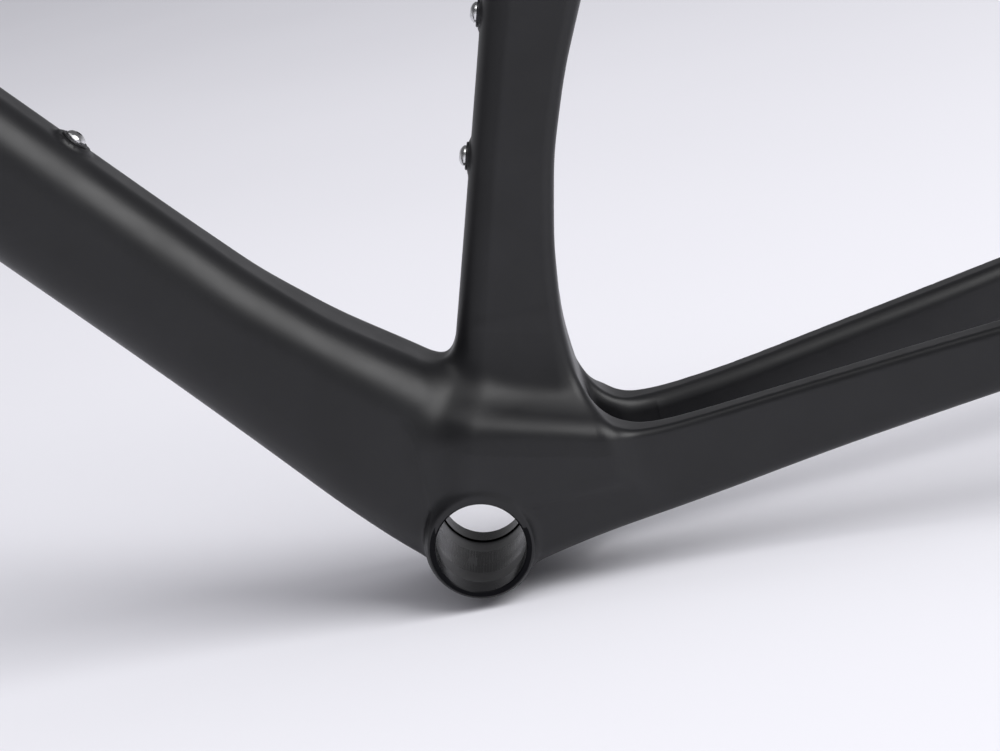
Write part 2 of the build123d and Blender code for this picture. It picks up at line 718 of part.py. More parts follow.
MOUNT_R = 327.0
MOUNT_Y = 66.5
MOUNT_TOP = 70.0
MOUNT_BOTTOM = 41.0
MOUNT_SLOPE = 8.6
MOUNT_LENGTH = 54.0
MOUNT_WIDTH = 17.0
MOUNT_HOLE_R = 2.75
HOSE_R = 262.0
HOSE_HOLE_R = 3.4
GROMMET_LIP_R = 5.4
WIRE_R = 336.0
LEFT_HOLLOW = CHAINSTAY[:7]
RIGHT_HOLLOW = CHAINSTAY[:8]


def brake_plane(height):
    """Lies along the left chainstay's slope; local x runs forward and down it."""
    level = Plane(origin=(-MOUNT_R, MOUNT_Y, height), x_dir=(1, 0, 0), z_dir=(0, 0, 1))
    return level.rotated((0, MOUNT_SLOPE, 0))


def hose_place():
    """The grommet's seat on top of the left chainstay, where the brake hose comes out."""
    return Plane(origin=(-HOSE_R, 50.5, 59.6), z_dir=(0.14, 0, 1))


def wire_place():
    """The grommet's seat on the outside of the right chainstay, ahead of the rear mech."""
    return Plane(origin=(-WIRE_R, -74.5, 56.5), z_dir=(0.17, -1, 0))


def grommet_seat(place):
    """A low raised seat for a grommet, with its hole."""
    with Locations(place):
        Cone(GROMMET_LIP_R + 2.5, GROMMET_LIP_R + 0.4, 5, align=(Align.CENTER, Align.CENTER, Align.MAX))
        Cylinder(HOSE_HOLE_R, 18, mode=Mode.SUBTRACT)


with BuildPart() as left_chainstay:
    stay_tube(CHAINSTAY, 1)
    stay_tube(LEFT_HOLLOW, 1, WALL, Mode.SUBTRACT)
    with BuildSketch(brake_plane(MOUNT_BOTTOM)):
        RectangleRounded(MOUNT_LENGTH, MOUNT_WIDTH, 7)
    extrude(amount=MOUNT_TOP - MOUNT_BOTTOM)
    grommet_seat(hose_place())
    with BuildSketch(brake_plane(MOUNT_BOTTOM)):
        with GridLocations(FLAT_MOUNT_SPACING, 0, 2, 1):
            Circle(MOUNT_HOLE_R)
    extrude(amount=50, both=True, mode=Mode.SUBTRACT)
export(left_chainstay.part, "left_chainstay")

with BuildPart() as right_chainstay:
    stay_tube(CHAINSTAY, -1)
    stay_tube(RIGHT_HOLLOW, -1, WALL, Mode.SUBTRACT)
    grommet_seat(wire_place())
export(right_chainstay.part, "right_chainstay")


def grommet(place, name, depth):
    """A rubber collar: its lip is on the surface and its neck lines the hole."""
    with BuildPart() as collar:
        with Locations(place):
            Cylinder(GROMMET_LIP_R, 1.6, align=(Align.CENTER, Align.CENTER, Align.MIN))
            fillet(collar.faces().filter_by(GeomType.PLANE).sort_by(SortBy.AREA)[-1].edges(), 0.4)
            Cylinder(HOSE_HOLE_R - SCREW_GAP, depth, align=(Align.CENTER, Align.CENTER, Align.MAX))
            Cylinder(2.2, 40, mode=Mode.SUBTRACT)
    export(collar.part, name)


grommet(hose_place(), "brake_hose_grommet", 5)
grommet(wire_place(), "gear_cable_grommet", 5)

# Dropouts, the gear hanger and the through axle ---------------------------------------------------------

PLATE = 9.0
PLATE_R = 17.5
HANGER_DEPTH = 4.0
HANGER_PLATE_R = 13.5
HANGER_ARM_R = 8.5
HANGER_HOLE = (AXLE_R + 9.0, BRACKET_DROP - 28.0)
HANGER_THICKNESS = 7.0
HANGER_SCREWS = [(AXLE_R - 8.6, BRACKET_DROP + 5.0), (AXLE_R + 2.0, BRACKET_DROP + 9.8)]


def rim_point(degrees):
    """A point of the plate's round rim, at an angle up from straight behind the axle."""
    turn = radians(degrees)
    return (AXLE_R + PLATE_R * cos(turn), BRACKET_DROP + PLATE_R * sin(turn))


def dropout_outline():
    """The plate that joins the chainstay's end and the seatstay's end around the axle."""
    with BuildLine() as outline:
        start = (STAY_END, CHAINSTAY[-1][3])
        under = (AXLE_R, BRACKET_DROP - PLATE_R)
        behind = rim_point(-15)
        above = rim_point(60)
        height, r, _, half_length, _, _ = SEATSTAY[0]
        Line(start, under)
        ThreePointArc(under, behind, above)
        Polyline(
            above,
            (r + half_length, height),
            (r - half_length, height),
            (STAY_END, CHAINSTAY[-1][4]),
            start,
        )
    make_face(outline.edges())


def hanger_outline(extra=0.0):
    """A round plate about the axle with an arm down to the gear's bolt."""
    with Locations(AXLE):
        Circle(HANGER_PLATE_R + extra)
    with Locations(HANGER_HOLE):
        Circle(HANGER_ARM_R + extra)
    make_hull()


with BuildPart() as left_dropout:
    with BuildSketch(side_plane(HUB_FACE)):
        dropout_outline()
    extrude(amount=PLATE)
    with BuildSketch(side_plane(HUB_FACE)):
        with Locations(AXLE):
            Circle(AXLE_SHAFT_R)
    extrude(amount=PLATE, mode=Mode.SUBTRACT)
export(left_dropout.part, "left_dropout")

with BuildPart() as right_dropout:
    with BuildSketch(side_plane(-HUB_FACE - PLATE)):
        dropout_outline()
    extrude(amount=PLATE)
    with BuildSketch(side_plane(-HUB_FACE - PLATE)):
        hanger_outline(0.1)
    extrude(amount=HANGER_DEPTH, mode=Mode.SUBTRACT)
    with BuildSketch(side_plane(-HUB_FACE - PLATE)):
        with Locations(AXLE):
            Circle(AXLE_SHAFT_R)
        with Locations(*HANGER_SCREWS):
            Circle(1.25)
    extrude(amount=PLATE, mode=Mode.SUBTRACT)
export(right_dropout.part, "right_dropout")

with BuildPart() as hanger:
    hanger_inner = -HUB_FACE - PLATE + HANGER_DEPTH
    with BuildSketch(side_plane(hanger_inner - HANGER_THICKNESS)):
        hanger_outline()
    extrude(amount=HANGER_THICKNESS)
    chamfer(hanger.faces().sort_by(Axis.Y)[0].edges(), 0.6)
    with BuildSketch(side_plane(hanger_inner - HANGER_THICKNESS)):
        with Locations(AXLE):
            Circle(AXLE_SHAFT_R)
        with Locations(HANGER_HOLE):
            Circle(DERAILLEUR_THREAD_R)
        with Locations(*HANGER_SCREWS):
            Circle(1.3)
    extrude(amount=HANGER_THICKNESS, mode=Mode.SUBTRACT)
export(hanger.part, "derailleur_hanger")

with BuildPart() as hanger_screws:
    for r, height in HANGER_SCREWS:
        with Locations(Plane(origin=(-r, hanger_inner - HANGER_THICKNESS, height), z_dir=(0, -1, 0))):
            add(socket_screw(2.3, 1.4, 1.2, 10, 1.5))
export(hanger_screws.part, "hanger_screws")

AXLE_OUT = HUB_FACE + PLATE
WASHER = 1.6
WASHER_R = 10.0
HEAD_R = 9.2
HEAD = 6.5
AXLE_TIP = hanger_inner - HANGER_THICKNESS - 0.8

with BuildPart() as washer:
    with BuildSketch(side_plane(AXLE_OUT)):
        with Locations(AXLE):
            Circle(WASHER_R)
            Circle(AXLE_SHAFT_R, mode=Mode.SUBTRACT)
    extrude(amount=WASHER)
    chamfer(washer.faces().sort_by(Axis.Y)[-1].outer_wire().edges(), 0.5)
export(washer.part, "thru_axle_washer")

with BuildPart() as thru_axle:
    with BuildSketch(side_plane(AXLE_OUT + WASHER)):
        with Locations(AXLE):
            Circle(HEAD_R)
    extrude(amount=HEAD)
    fillet(thru_axle.faces().sort_by(Axis.Y)[-1].edges(), 1.6)
    with BuildSketch(side_plane(AXLE_TIP)):
        with Locations(AXLE):
            Circle(AXLE_SHAFT_R - RUNNING_GAP)
    extrude(amount=AXLE_OUT + WASHER - AXLE_TIP)
    chamfer(thru_axle.faces().sort_by(Axis.Y)[0].edges(), 0.8)
    with BuildSketch(side_plane(AXLE_TIP)):
        with Locations(AXLE):
            Circle(3.6)
    extrude(amount=AXLE_OUT + WASHER - AXLE_TIP - 2, mode=Mode.SUBTRACT)
    with BuildSketch(side_plane(AXLE_OUT + WASHER + 1)):
        with Locations(AXLE):
            RegularPolygon(3.0, 6, major_radius=False)
    extrude(amount=HEAD, mode=Mode.SUBTRACT)
export(thru_axle.part, "thru_axle")

# Front derailleur mount, on the right of the seat tube ---------------------------------------------------

MECH_BASE = 134.0
MECH_TOP = 166.0
MECH_FACE = -17.65
MECH_PLATE = 3.0
MECH_EAR = 12.0
MECH_EAR_BACK = 7.2
MECH_EAR_THICKNESS = 3.4
MECH_HOLE_R = 2.6
MECH_MIDDLE = (MECH_BASE + MECH_TOP) / 2

with BuildPart() as mech_mount:
    with BuildSketch(seat_side(MECH_FACE - MECH_PLATE)):
        with Locations((2.5, MECH_MIDDLE)):
            RectangleRounded(13, MECH_TOP - MECH_BASE, 4)
    extrude(amount=MECH_PLATE)
    with BuildSketch(seat_side(MECH_FACE - MECH_PLATE - MECH_EAR)):
        with Locations((MECH_EAR_BACK, MECH_MIDDLE)):
            Rectangle(MECH_EAR_THICKNESS, 13)
    extrude(amount=MECH_EAR)
    fillet(mech_mount.edges().filter_by(Axis(seat_point(0), SEAT_BACK)).sort_by(Axis.Y)[:2], 4.0)
    with BuildSketch(Plane(origin=seat_point(MECH_MIDDLE), x_dir=(0, 1, 0), z_dir=SEAT_BACK)):
        with Locations((MECH_FACE - MECH_PLATE - 5.5, 0)):
            Circle(MECH_HOLE_R)
    extrude(amount=20, mode=Mode.SUBTRACT)
    with BuildSketch(seat_side(MECH_FACE - 20)):
        with Locations(*[(MECH_SCREW_BACK, height) for height in MECH_SCREWS]):
            Circle(MECH_SCREW_R + SCREW_GAP)
    extrude(amount=20, mode=Mode.SUBTRACT)
export(mech_mount.part, "front_derailleur_mount")

with BuildPart() as mech_screws:
    for height in MECH_SCREWS:
        origin = seat_point(height, MECH_SCREW_BACK) + Vector(0, MECH_FACE - MECH_PLATE, 0)
        with Locations(Plane(origin=origin, x_dir=SEAT_AXIS, z_dir=(0, -1, 0))):
            add(socket_screw(2.9, 1.8, MECH_SCREW_R, 6, 2.0))
export(mech_screws.part, "front_derailleur_mount_screws")

# Cable guide under the bottom bracket --------------------------------------------------------------------

GUIDE_THICKNESS = 2.3
GROOVE_R = 1.3


def guide_face():
    """The guide's outer face, which the cables run along."""
    return GUIDE_PLACE.offset(GUIDE_TOP - GUIDE_THICKNESS)


with BuildPart() as guide:
    with Locations(GUIDE_PLACE.offset(GUIDE_TOP)):
        Box(GUIDE_LENGTH, GUIDE_WIDTH, GUIDE_THICKNESS, align=(Align.CENTER, Align.CENTER, Align.MAX))
        Cylinder(GUIDE_SCREW_R + SCREW_GAP, 20, mode=Mode.SUBTRACT)
    upright = guide.edges().filter_by(Axis((0, 0, 0), GUIDE_PLACE.z_dir))
    fillet(upright.sort_by_distance((0, 0, 0))[-4:], 3)
    for y in (-6.5, 6.5):
        with Locations(guide_face().location * Location((0, y, 0))):
            Cylinder(GROOVE_R, 60, rotation=(0, 90, 0), mode=Mode.SUBTRACT)
export(guide.part, "cable_guide")

with BuildPart() as guide_screw:
    with Locations(guide_face().location * Location((0, 0, 0), (180, 0, 0))):
        add(socket_screw(3.4, 1.6, GUIDE_SCREW_R, 4.0, 2.5))
export(guide_screw.part, "cable_guide_screw")
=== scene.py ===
"""The looks of a moulded carbon road bicycle frame, built around its CAD frame.

Lengths in the shape code are millimetres in the CAD frame: +X forwards, +Y left, +Z up, origin at the
centre of the bottom bracket. The carbon pieces are skins of one smooth field: each tube is a run of rounded
sections, and the tubes melt into one another with wide fillets, as the moulding does.
"""

import json
import math

import bmesh
import bpy
import numpy as np
import openvdb
from mathutils import Matrix, Vector


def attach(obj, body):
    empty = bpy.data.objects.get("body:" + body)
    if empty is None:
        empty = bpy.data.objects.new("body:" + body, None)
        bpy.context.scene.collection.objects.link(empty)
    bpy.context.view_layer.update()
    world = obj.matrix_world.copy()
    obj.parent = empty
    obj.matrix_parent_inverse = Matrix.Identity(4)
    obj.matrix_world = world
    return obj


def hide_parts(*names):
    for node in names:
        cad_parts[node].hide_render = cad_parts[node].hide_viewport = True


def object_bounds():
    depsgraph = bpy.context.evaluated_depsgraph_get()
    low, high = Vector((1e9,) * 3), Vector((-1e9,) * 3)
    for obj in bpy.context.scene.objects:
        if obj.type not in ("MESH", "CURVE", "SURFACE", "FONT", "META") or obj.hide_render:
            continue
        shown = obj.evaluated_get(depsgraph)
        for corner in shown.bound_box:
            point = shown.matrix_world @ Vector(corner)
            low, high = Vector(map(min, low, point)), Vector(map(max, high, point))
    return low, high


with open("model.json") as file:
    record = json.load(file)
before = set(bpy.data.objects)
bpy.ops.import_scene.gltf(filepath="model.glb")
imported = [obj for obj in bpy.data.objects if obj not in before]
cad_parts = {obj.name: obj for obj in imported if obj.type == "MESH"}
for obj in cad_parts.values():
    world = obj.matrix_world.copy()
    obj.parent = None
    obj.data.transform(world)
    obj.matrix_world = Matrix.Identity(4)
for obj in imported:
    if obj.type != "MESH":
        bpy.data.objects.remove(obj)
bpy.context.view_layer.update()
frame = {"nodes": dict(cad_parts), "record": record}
nodes = frame["nodes"]

# Driving dimensions ---------------------------------------------------------------------------------

# Directions of the tubes, in degrees up from forwards, and the rear axle's place behind and above the origin.
SEAT_ANGLE = 106.5
DOWN_ANGLE = 48.0
HEAD_ANGLE = 107.0
AXLE = (404.0, 70.0)
# Joint planes: distances along the tubes and stays, and heights of the seatstays' two.
JUNCTION_END = 110.0
STAY_JOINT = 90.0
STAY_END = 388.0
LUG_END = 44.0
SEATSTAY_TOP = 350.0
SEATSTAY_FOOT = 92.0
HEAD_JOINT_DOWN = 560.0
HEAD_JOINT_TOP = 498.0
# Ends of each tube's run of sections.
SEAT_START = 35
SEAT_TOP = 502.0
DOWN_END = 618
TOP_START = -6
TOP_END = 530
STAY_START = -20
STAY_REACH = STAY_END + 3
SEATSTAY_LOW = 90
SEATSTAY_HIGH = 404
# The bottom bracket's collars, the barrel inside, its mouth and the room for the tyre.
BOSS_R = 23.7
BOSS_HALF = 43.0
HOUSING_R = 24.9
HOUSING_HALF = 40.0
MOUTH_R = 21.2
TYRE_ROOM_R = 345.0
TYRE_ROOM_HALF = 15.5
# The seatpost's bore and the head tube.
SEATPOST_R = 13.6
SEATPOST_FOOT = 380
HEAD_LENGTH = 140.0
HEAD_R = 23.4
HEAD_FOOT_GROWTH = 6.2
HEAD_TOP_GROWTH = 0.6
HEAD_BORE_R = 18.0
HEAD_RELIEF_R = 22.5
LOWER_BEARING_R = 26.05
UPPER_BEARING_R = 20.95
CROWN_ROOM_R = 40.0
# Bottle bosses: places along the tube, height of the pad across it, radius of the pad.
DOWN_BOSSES = ((251, 315), 36.0, 8.5)
SEAT_BOSSES = ((169, 233), -19.2, 7.2)
# The rear brake's seat on the left chainstay.
BRAKE_PAD = (-322.66, 66.5, 69.67)
PAD_SLOPE = 8.6
PAD_HALF_LENGTH = 27
PAD_HALF_WIDTH = 8.5
PAD_DEPTH = 29
PAD_BOLT_OFFSET = 17
PAD_BOLT_R = 2.75
# The brake hose and the gear cable leave the stays through grommets: place, outward direction.
HOSE = ((-262.0, 50.5, 59.6), (0.14, 0, 1))
WIRE = ((-336.0, -74.5, 56.5), (0.17, -1, 0))
GROMMET_PAD_R = 5.9
GROMMET_SEAT_R = 3.4
# Grid steps of the skins' meshes, and how their grids are filled: cells along a block, blocks at a time.
FINE, MEDIUM = ((1.1, 2.0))
BLOCK = 8
BATCH = 800
# A point this near the field's surface lies on the moulded skin; a sharper turn than this is a crease.
SKIN_TOLERANCE = 0.06
CREASE_ANGLE = 32

# Stations: distance along the axis, half width, low, high, low corner radius, high corner radius.
DOWN_TUBE = [
    (0, 31.0, -24.5, 49.0, 18, 25),
    (30, 36.0, -26.3, 50.0, 20, 27),
    (60, 36.4, -27.2, 49.8, 22, 26),
    (85, 34.3, -27.3, 44.4, 23, 24),
    (110, 32.0, -27.3, 38.9, 23, 21),
    (150, 29.4, -27.3, 34.9, 23, 22),
    (200, 28.2, -27.3, 34.5, 23, 22),
    (300, 28.0, -27.3, 34.7, 23, 22),
    (420, 26.5, -26.8, 33.6, 22, 21),
    (530, 24.5, -26.8, 32.6, 21, 20),
    (620, 23.0, -27.5, 32.5, 20, 20),
]
SEAT_TUBE = [
    (35, 19.0, -20.0, 46.0, 14, 8),
    (65, 18.6, -18.8, 37.0, 14, 7),
    (84, 18.4, -18.7, 32.0, 14, 6),
    (110, 18.3, -18.6, 26.3, 14, 6),
    (134, 17.6, -18.6, 22.0, 14, 6),
    (175, 17.0, -18.6, 18.5, 14, 6),
    (213, 17.0, -18.6, 20.2, 14, 6),
    (242, 17.0, -18.7, 24.4, 14, 7),
    (275, 17.0, -18.8, 29.0, 14, 8),
    (310, 17.0, -18.8, 30.5, 14, 9),
    (370, 17.0, -18.8, 27.0, 14, 10),
    (440, 17.2, -18.8, 21.0, 14, 12),
    (502, 17.4, -18.8, 18.8, 14, 14),
]
TOP_TUBE = [
    (0, 16.6, -25.0, 19.0, 13, 12),
    (20, 16.8, -24.0, 19.0, 13, 12),
    (44, 17.0, -22.2, 18.8, 13, 12),
    (110, 17.6, -18.4, 17.6, 14, 13),
    (250, 19.0, -17.5, 17.5, 14, 13),
    (400, 20.5, -19.5, 19.5, 15, 14),
    (532, 22.0, -23.5, 22.5, 16, 15),
]
# Chainstays: rearward distance, inner face, outer face, low, high, low radius, inner and outer high radius.
# Ahead of the wheel their inner faces pass the mid plane, so both stays are one block.
CHAINSTAY = [
    (-20, -30, 36.0, -20.0, 60.0, 12, 16, 16),
    (5, -30, 38.8, -21.0, 58.5, 12, 9, 9),
    (25, -30, 38.6, -14.8, 51.5, 10, 6, 6),
    (45, -20, 38.2, -10.2, 45.4, 9, 4, 4),
    (60, 0, 37.6, -7.4, 40.8, 8, 5, 3.5),
    (70, 13, 37.0, -6.0, 38.0, 8, 7, 3.5),
    (80, 17, 36.6, -4.7, 36.5, 8, 7, 3.5),
    (90, 18.0, 36.4, -3.4, 36.2, 8, 7, 3.5),
    (120, 20.0, 37.4, 1.8, 39.2, 8, 7, 3.5),
    (145, 23.0, 40.4, 7.2, 42.6, 8, 7, 3.5),
    (172, 27.0, 44.8, 13.0, 46.4, 8, 7, 3.5),
    (208, 32.0, 50.2, 19.9, 51.4, 8, 7, 3.5),
    (242, 37.5, 56.4, 26.6, 56.0, 8, 7, 3.5),
    (300, 50.0, 67.5, 37.5, 63.8, 7, 6, 3.5),
    (350, 62.0, 76.0, 46.8, 70.6, 6, 5, 3.5),
    (388, 71.0, 80.0, 55.0, 78.0, 3.5, 3.5, 3.5),
]
# The ledge that flares from the seat tube's sides to the block's top edge.
# Its edge: rearward distance, height.
LEDGE_EDGE = [(-12, 64), (0, 57), (10, 53.5), (24, 50.5), (37, 47.5), (50, 45), (61, 42)]
# Its flare: height above the edge, half width.
LEDGE_FLARE = [(-12, 38.5), (-4, 36.5), (2, 32.5), (9, 26.5), (16, 22), (24, 18.3), (32, 15), (44, 10)]
# Its side towards the tyre: height, rearward distance.
LEDGE_REAR = [(20, 66), (36, 64.5), (42, 63), (50, 61), (60, 58.6), (72, 55.6), (90, 51)]
LEDGE_EDGE_RANGE = (-12, 61)
LEDGE_FLARE_RANGE = (-12, 40)
LEDGE_FOOT = 20
LEDGE_TOP = 92
LEDGE_FRONT = 9.0
# Seatstays in level planes: height, centre r, centre y, half length along r, half width, radius.
SEATSTAY = [
    (92, 394, 75.5, 9.5, 4.5, 3.5),
    (120, 370, 74.6, 9.0, 5.2, 4.0),
    (160, 334, 68.0, 9.5, 6.0, 4.5),
    (210, 289, 57.0, 10.5, 6.4, 5.0),
    (260, 244, 44.0, 11.0, 6.6, 5.0),
    (315, 195, 29.5, 12.0, 6.8, 5.0),
    (350, 165, 20.8, 13.0, 6.6, 5.0),
    (375, 144.5, 15.4, 13.0, 6.2, 5.0),
    (400, 124, 11.0, 13.0, 5.6, 4.5),
]

# The field ------------------------------------------------------------------------------------------


def unit(angle):
    return np.array((math.cos(math.radians(angle)), 0.0, math.sin(math.radians(angle))))


class Axis:
    """A line in the mid plane: `along` it, and `across` it towards the side given by Y x along."""

    def __init__(self, angle, start=(0, 0, 0)):
        self.along = unit(angle)
        self.across = np.cross(self.along, (0.0, 1.0, 0.0))
        self.start = np.array(start, float)

    def local(self, p):
        q = p - self.start
        return q @ self.along, p[:, 1], q @ self.across

    def point(self, along, across=0.0, y=0.0):
        return self.start + self.along * along + self.across * across + np.array((0, y, 0))


SEAT = Axis(SEAT_ANGLE)
DOWN = Axis(DOWN_ANGLE)
HEAD_BASE = np.array((385.0, 0, 550.0)) - unit(HEAD_ANGLE) * HEAD_LENGTH
HEAD = Axis(HEAD_ANGLE, HEAD_BASE)
TOP_FROM = SEAT.point(474)
TOP_TO = HEAD.point(HEAD_LENGTH - 32)
TOP_ANGLE = math.degrees(math.atan2(TOP_TO[2] - TOP_FROM[2], TOP_TO[0] - TOP_FROM[0]))
TOP = Axis(TOP_ANGLE, TOP_FROM)
REARWARD = Axis(180.0)


def smooth_table(stations, spread=7.0):
    """Columns of a station table at every millimetre, rounded off so that no station shows as a kink."""
    rows = np.array(stations, float)
    s = rows[:, 0]
    pad = int(4 * spread)
    grid = np.arange(s[0] - pad, s[-1] + pad + 1.0)
    kernel = np.exp(-0.5 * (np.arange(-pad, pad + 1) / spread) ** 2)
    kernel /= kernel.sum()
    columns = []
    for column in rows[:, 1:].T:
        first = (column[1] - column[0]) / (s[1] - s[0])
        last = (column[-1] - column[-2]) / (s[-1] - s[-2])
        line = np.interp(grid, s, column)
        line = np.where(grid < s[0], column[0] + (grid - s[0]) * first, line)
        line = np.where(grid > s[-1], column[-1] + (grid - s[-1]) * last, line)
        wide = np.pad(line, pad, mode="reflect", reflect_type="odd")
        columns.append(np.convolve(wide, kernel, mode="valid"))
    return grid, columns


TABLES = {
    name: smooth_table(stations, spread)
    for name, stations, spread in (
        ("down", DOWN_TUBE, 8.0),
        ("seat", SEAT_TUBE, 8.0),
        ("top", TOP_TUBE, 12.0),
        ("ledge_edge", LEDGE_EDGE, 6.0),
        ("ledge_flare", LEDGE_FLARE, 4.0),
        ("ledge_rear", LEDGE_REAR, 5.0),
        ("stay", CHAINSTAY, 8.0),
        ("seatstay", SEATSTAY, 10.0),
    )
}


def columns_at(name, s):
    """A table's columns at each distance or height in `s`."""
    grid, columns = TABLES[name]
    return [np.interp(s, grid, column) for column in columns]


def rounded_box(px, pz, half_x, half_z, radius):
    """Distance to a rectangle with rounded corners."""
    qx = np.abs(px) - half_x + radius
    qz = np.abs(pz) - half_z + radius
    outside = np.hypot(np.maximum(qx, 0), np.maximum(qz, 0))
    return outside + np.minimum(np.maximum(qx, qz), 0) - radius


def slab(distance, s, low, high, k=1.0):
    """The part of a shape between two planes across its axis."""
    return smooth_max(distance, np.maximum(low - s, s - high), k)


def smooth_min(a, b, k):
    """The union of two shapes, melted together over a width of about `k`."""
    h = np.clip(0.5 + 0.5 * (b - a) / k, 0, 1)
    return b + (a - b) * h - k * h * (1 - h)


def smooth_max(a, b, k):
    """The overlap of two shapes, with its edge rounded over a width of about `k`."""
    return -smooth_min(-a, -b, k)


def mid_tube(name, s, y, n, low_end, high_end):
    """A tube in the mid plane, from its table of sections."""
    half, low, high, low_r, high_r = columns_at(name, np.clip(s, low_end, high_end))
    middle = (low + high) / 2
    # The corner radius changes from the low side to the high side smoothly across the flat.
    side = np.clip((n - middle) / (high - low) * 2 + 0.5, 0, 1)
    radius = low_r + (high_r - low_r) * side
    return slab(rounded_box(y, n - middle, half, (high - low) / 2, radius), s, low_end, high_end)


def down_tube(p):
    return mid_tube("down", *DOWN.local(p), 0, DOWN_END)


def seat_tube(p):
    return mid_tube("seat", *SEAT.local(p), SEAT_START, SEAT_TOP)


def top_tube(p):
    return mid_tube("top", *TOP.local(p), TOP_START, TOP_END)


def ledge(p):
    """The flare between the seat tube and the block's top edge, in front of the tyre."""
    r = -p[:, 0]
    z = p[:, 2]
    (edge,) = columns_at("ledge_edge", np.clip(r, *LEDGE_EDGE_RANGE))
    (half,) = columns_at("ledge_flare", np.clip(z - edge, *LEDGE_FLARE_RANGE))
    (rear,) = columns_at("ledge_rear", np.clip(z, LEDGE_FOOT, LEDGE_TOP - 2))
    flare = smooth_max((np.abs(p[:, 1]) - half) * 0.8, r - rear, 5.0)
    _, _, back = SEAT.local(p)
    flare = smooth_max(flare, -LEDGE_FRONT - back, 8.0)
    return smooth_max(flare, np.maximum(z - LEDGE_TOP, LEDGE_FOOT - z), 4.0)


def chainstays(p):
    """Both chainstays, and the block that they grow out of."""
    r = -p[:, 0]
    y = np.abs(p[:, 1])
    at = np.clip(r, STAY_START, STAY_REACH)
    inner, outer, low, high, low_r, in_r, out_r = columns_at("stay", at)
    px = y - (inner + outer) / 2
    pz = p[:, 2] - (low + high) / 2
    up = np.clip(pz / 8 + 0.5, 0, 1)
    out = np.clip(px / 5 + 0.5, 0, 1)
    radius = low_r + (in_r + (out_r - in_r) * out - low_r) * up
    flat = rounded_box(px, pz, (outer - inner) / 2, (high - low) / 2, radius)
    return slab(flat, r, STAY_START + 4, STAY_REACH)


def seatstays(p):
    z = p[:, 2]
    at = np.clip(z, SEATSTAY_LOW, SEATSTAY_HIGH)
    middle_r, middle_y, half_r, half_y, radius = columns_at("seatstay", at)
    flat = rounded_box(-p[:, 0] - middle_r, np.abs(p[:, 1]) - middle_y, half_r, half_y, radius)
    return slab(flat * 0.8, z, SEATSTAY_LOW, SEATSTAY_HIGH)


def shell_boss(p):
    """The collar round each end of the bottom bracket shell."""
    radial = np.hypot(p[:, 0], p[:, 2]) - BOSS_R
    return smooth_max(radial, np.abs(p[:, 1]) - BOSS_HALF, 1.2)


def housing(p):
    """The barrel that holds the bottom bracket shell inside the block."""
    radial = np.hypot(p[:, 0], p[:, 2]) - HOUSING_R
    return smooth_max(radial, np.abs(p[:, 1]) - HOUSING_HALF, 4.0)


def wheel_space(p):
    """Room for the rear tyre in front of the wheel."""
    radial = np.hypot(-p[:, 0] - AXLE[0], p[:, 2] - AXLE[1]) - TYRE_ROOM_R
    return smooth_max(radial, np.abs(p[:, 1]) - TYRE_ROOM_HALF, 3.0)


def head_barrel(p):
    """The head tube, which widens towards its larger lower bearing and a little at its top."""
    s, y, n = HEAD.local(p)
    t = np.clip(s, 0, HEAD_LENGTH)
    flare = np.exp(-((np.maximum(t - 8, 0) / 34.0) ** 2))
    top = np.clip((t - 85) / 47, 0, 1)
    radius = HEAD_R + HEAD_FOOT_GROWTH * flare + HEAD_TOP_GROWTH * top * top * (3 - 2 * top)
    return slab(np.hypot(y, n) - radius, s, 0, HEAD_LENGTH, 1.2)


def junction_field(p):
    """The block round the bottom bracket, with the roots of the tubes and stays melted into it."""
    melted = smooth_min(down_tube(p), chainstays(p), 10)
    upright = smooth_min(seat_tube(p), ledge(p), 8)
    melted = smooth_min(melted, upright, 17)
    melted = smooth_max(melted, -wheel_space(p), 5)
    melted = smooth_min(melted, housing(p), 5)
    return smooth_min(melted, shell_boss(p), 4)


def boss_pads(p, axis, places, across, radius):
    """Low raised pads under the bottle bosses."""
    s, y, n = axis.local(p)
    pads = np.full(len(p), 50.0)
    for place in places:
        side = -1 if across < 0 else 1
        depth = side * (n - across)
        pad = smooth_max(np.hypot(s - place, y) - radius, np.maximum(depth, -12 - depth), 1.0)
        pads = np.minimum(pads, pad)
    return pads


def down_field(p):
    tube = smooth_min(down_tube(p), head_barrel(p), 14)
    return smooth_min(tube, boss_pads(p, DOWN, *DOWN_BOSSES), 3.5)


def seat_field(p):
    tube = smooth_min(seat_tube(p), top_tube(p), 12)
    tube = smooth_min(tube, seatstays(p), 12)
    return smooth_min(tube, boss_pads(p, SEAT, *SEAT_BOSSES), 2.0)


def top_field(p):
    return smooth_min(top_tube(p), head_barrel(p), 14)


def head_field(p):
    tubes = smooth_min(down_tube(p), top_tube(p), 14)
    return smooth_min(tubes, head_barrel(p), 14)


def brake_pad(p):
    """The flat seat of the rear brake on the left chainstay."""
    turn = math.radians(PAD_SLOPE)
    x = p[:, 0] - BRAKE_PAD[0]
    z = p[:, 2] - BRAKE_PAD[2]
    along = x * math.cos(turn) - z * math.sin(turn)
    up = x * math.sin(turn) + z * math.cos(turn)
    flat = rounded_box(along, p[:, 1] - BRAKE_PAD[1], PAD_HALF_LENGTH, PAD_HALF_WIDTH, 7)
    return smooth_max(flat, np.maximum(up, -PAD_DEPTH - up), 1.0)


def grommet_pad(p, origin, direction):
    """A low round seat for a grommet."""
    out = np.array(direction, float)
    out /= np.linalg.norm(out)
    q = p - np.array(origin, float)
    height = q @ out
    radial = np.linalg.norm(q - height[:, None] * out, axis=1)
    return smooth_max(radial - GROMMET_PAD_R, np.maximum(height, -6 - height), 0.8)


def left_stay_field(p):
    stay = smooth_min(chainstays(p), brake_pad(p), 4)
    return smooth_min(stay, grommet_pad(p, *HOSE), 2.5)


